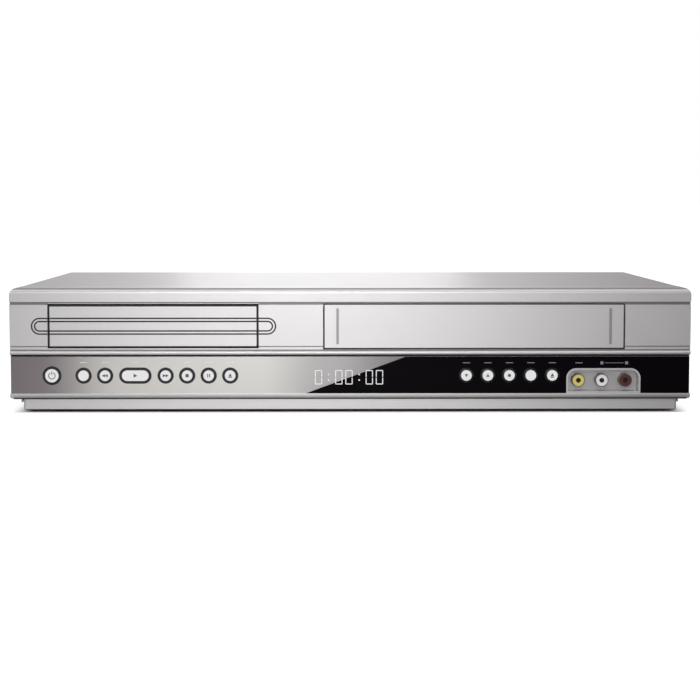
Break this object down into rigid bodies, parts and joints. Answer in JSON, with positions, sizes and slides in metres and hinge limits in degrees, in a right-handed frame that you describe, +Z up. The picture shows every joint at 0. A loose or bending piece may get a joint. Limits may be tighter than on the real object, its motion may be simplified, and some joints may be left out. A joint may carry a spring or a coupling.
{
  "type": "dvd vcr combo player",
  "caption": "Slim full-width disc player and video cassette recorder in one cabinet, with a sliding disc tray, an inward cassette flap, push buttons and front sockets.",
  "frame": {"origin": "on the floor, in the middle of the overall width and depth, sockets included", "axes": "+X to the right seen from the front, +Y to the back, +Z up; the front faces -Y"},
  "size_m": [0.43, 0.2706, 0.079],
  "materials": {
    "silver_plastic": "satin silver lacquer on moulded plastic",
    "silver_strip": "silver printed acrylic",
    "black_window": "deep gloss black acrylic",
    "cover_metal": "fine-textured silver lacquer",
    "galvanised": "zinc plated sheet",
    "bright_steel": "polished",
    "rear_paint": "matt black lacquer",
    "black_plastic": "matt moulded",
    "grey_plastic": "moulded, satin",
    "white_cap": "polished",
    "socket_plastic": "coloured by signal",
    "rubber": "matt",
    "board_green": "solder mask",
    "display_glass": "glass tube",
    "brass": "turned",
    "drum_alloy": "fine turned"
  },
  "bodies": {
    "cabinet": {"front_fascia": "silver_plastic", "control_strip": "silver_strip", "display_window": "black_window", "plinth_trim": "silver_plastic", "jack_alcove": "silver_plastic", "top_cover": "cover_metal", "bottom_chassis": "galvanised", "rear_panel": "rear_paint", "rubber_feet": "rubber", "front_board": "board_green", "tact_switches": "black_plastic", "display_tube": "display_glass", "main_board": "board_green", "power_board": "board_green", "power_parts": "black_plastic", "tuner": "bright_steel", "rear_jack_block": "black_plastic", "mains_inlet": "black_plastic", "socket_shells": "bright_steel", "socket_cores": "socket_plastic", "loader_frame": "black_plastic", "loading_motor": "galvanised", "traverse_frame": "black_plastic", "spindle_motor": "galvanised", "pickup_rods": "bright_steel", "clamp_bridge": "galvanised", "holder_rails": "galvanised", "deck_plate": "galvanised", "drum_base": "drum_alloy", "pinch_arm": "galvanised", "tape_guides": "bright_steel"},
    "tray": {"tray_door": "silver_plastic", "disc_tray": "grey_plastic"},
    "tray_gear": {"tray_gear": "white_cap"},
    "turntable": {"disc_turntable": "black_plastic"},
    "pickup": {"optical_pickup": "black_plastic"},
    "clamp": {"clamp_disc": "black_plastic"},
    "cassette_door": {"cassette_door": "silver_plastic"},
    "cassette_holder": {"cassette_holder": "galvanised"},
    "head_drum": {"head_drum": "drum_alloy"},
    "capstan": {"capstan": "bright_steel"},
    "pinch_roller": {"pinch_roller": "rubber"},
    "supply_reel": {"supply_reel": "black_plastic"},
    "takeup_reel": {"takeup_reel": "black_plastic"},
    "power_button": {"power_button": "white_cap"},
    "select_button": {"select_button": "white_cap"},
    "rewind_button": {"rewind_button": "white_cap"},
    "play_button": {"play_button": "white_cap"},
    "forward_button": {"forward_button": "white_cap"},
    "stop_button": {"stop_button": "white_cap"},
    "pause_button": {"pause_button": "white_cap"},
    "tray_button": {"tray_button": "white_cap"},
    "channel_down_button": {"channel_down_button": "white_cap"},
    "channel_up_button": {"channel_up_button": "white_cap"},
    "record_button": {"record_button": "white_cap"},
    "source_button": {"source_button": "white_cap"},
    "eject_button": {"eject_button": "white_cap"}
  },
  "joints": [
    {"name": "tray_slide", "type": "slide", "parent": "cabinet", "child": "tray", "axis": [0, -1, 0], "range_m": [0, 0.131]},
    {"name": "tray_gear_spin", "type": "hinge", "parent": "cabinet", "child": "tray_gear", "pos_m": [-0.0828, -0.11832, 0.0475], "axis": [0, 0, 1], "range_deg": [-839, 5]},
    {"name": "turntable_spin", "type": "hinge", "parent": "cabinet", "child": "turntable", "pos_m": [-0.1245, -0.06642, 0.0475], "axis": [0, 0, 1], "continuous": true},
    {"name": "pickup_slide", "type": "slide", "parent": "cabinet", "child": "pickup", "axis": [0, 1, 0], "range_m": [0, 0.035]},
    {"name": "clamp_spin", "type": "hinge", "parent": "cabinet", "child": "clamp", "pos_m": [-0.1245, -0.06642, 0.0631], "axis": [0, 0, 1], "continuous": true},
    {"name": "cassette_door_hinge", "type": "hinge", "parent": "cabinet", "child": "cassette_door", "pos_m": [0.07805, -0.13232, 0.06795], "axis": [1, 0, 0], "range_deg": [0, 88], "stiffness_Nm_per_rad": 0.02, "springref_deg": -17.19},
    {"name": "cassette_holder_slide", "type": "slide", "parent": "cabinet", "child": "cassette_holder", "axis": [0, 1, 0], "range_m": [0, 0.045]},
    {"name": "head_drum_spin", "type": "hinge", "parent": "cabinet", "child": "head_drum", "pos_m": [0.07805, 0.02803, 0.0418], "axis": [0, -0.1045, 0.9945], "continuous": true},
    {"name": "capstan_spin", "type": "hinge", "parent": "cabinet", "child": "capstan", "pos_m": [0.12205, 0.01202, 0.0208], "axis": [0, 0, 1], "continuous": true},
    {"name": "pinch_roller_spin", "type": "hinge", "parent": "cabinet", "child": "pinch_roller", "pos_m": [0.12505, -0.00948, 0.0208], "axis": [0, 0, 1], "continuous": true},
    {"name": "supply_reel_spin", "type": "hinge", "parent": "cabinet", "child": "supply_reel", "pos_m": [0.03205, -0.04797, 0.0208], "axis": [0, 0, 1], "continuous": true},
    {"name": "takeup_reel_spin", "type": "hinge", "parent": "cabinet", "child": "takeup_reel", "pos_m": [0.12405, -0.04797, 0.0208], "axis": [0, 0, 1], "continuous": true},
    {"name": "power_button_press", "type": "slide", "parent": "cabinet", "child": "power_button", "axis": [0, 1, 0], "range_m": [0, 0.0007], "stiffness_N_per_m": 1500, "springref_m": -0.0003},
    {"name": "select_button_press", "type": "slide", "parent": "cabinet", "child": "select_button", "axis": [0, 1, 0], "range_m": [0, 0.0007], "stiffness_N_per_m": 1500, "springref_m": -0.0003},
    {"name": "rewind_button_press", "type": "slide", "parent": "cabinet", "child": "rewind_button", "axis": [0, 1, 0], "range_m": [0, 0.0007], "stiffness_N_per_m": 1500, "springref_m": -0.0003},
    {"name": "play_button_press", "type": "slide", "parent": "cabinet", "child": "play_button", "axis": [0, 1, 0], "range_m": [0, 0.0007], "stiffness_N_per_m": 1500, "springref_m": -0.0003},
    {"name": "forward_button_press", "type": "slide", "parent": "cabinet", "child": "forward_button", "axis": [0, 1, 0], "range_m": [0, 0.0007], "stiffness_N_per_m": 1500, "springref_m": -0.0003},
    {"name": "stop_button_press", "type": "slide", "parent": "cabinet", "child": "stop_button", "axis": [0, 1, 0], "range_m": [0, 0.0007], "stiffness_N_per_m": 1500, "springref_m": -0.0003},
    {"name": "pause_button_press", "type": "slide", "parent": "cabinet", "child": "pause_button", "axis": [0, 1, 0], "range_m": [0, 0.0007], "stiffness_N_per_m": 1500, "springref_m": -0.0003},
    {"name": "tray_button_press", "type": "slide", "parent": "cabinet", "child": "tray_button", "axis": [0, 1, 0], "range_m": [0, 0.0007], "stiffness_N_per_m": 1500, "springref_m": -0.0003},
    {"name": "channel_down_button_press", "type": "slide", "parent": "cabinet", "child": "channel_down_button", "axis": [0, 1, 0], "range_m": [0, 0.0007], "stiffness_N_per_m": 1500, "springref_m": -0.0003},
    {"name": "channel_up_button_press", "type": "slide", "parent": "cabinet", "child": "channel_up_button", "axis": [0, 1, 0], "range_m": [0, 0.0007], "stiffness_N_per_m": 1500, "springref_m": -0.0003},
    {"name": "record_button_press", "type": "slide", "parent": "cabinet", "child": "record_button", "axis": [0, 1, 0], "range_m": [0, 0.0007], "stiffness_N_per_m": 1500, "springref_m": -0.0003},
    {"name": "source_button_press", "type": "slide", "parent": "cabinet", "child": "source_button", "axis": [0, 1, 0], "range_m": [0, 0.0007], "stiffness_N_per_m": 1500, "springref_m": -0.0003},
    {"name": "eject_button_press", "type": "slide", "parent": "cabinet", "child": "eject_button", "axis": [0, 1, 0], "range_m": [0, 0.0007], "stiffness_N_per_m": 1500, "springref_m": -0.0003}
  ],
  "couplings": [
    {"joint": "tray_gear_spin", "follows": "tray_slide", "rad_per_m": -111.11}
  ]
}
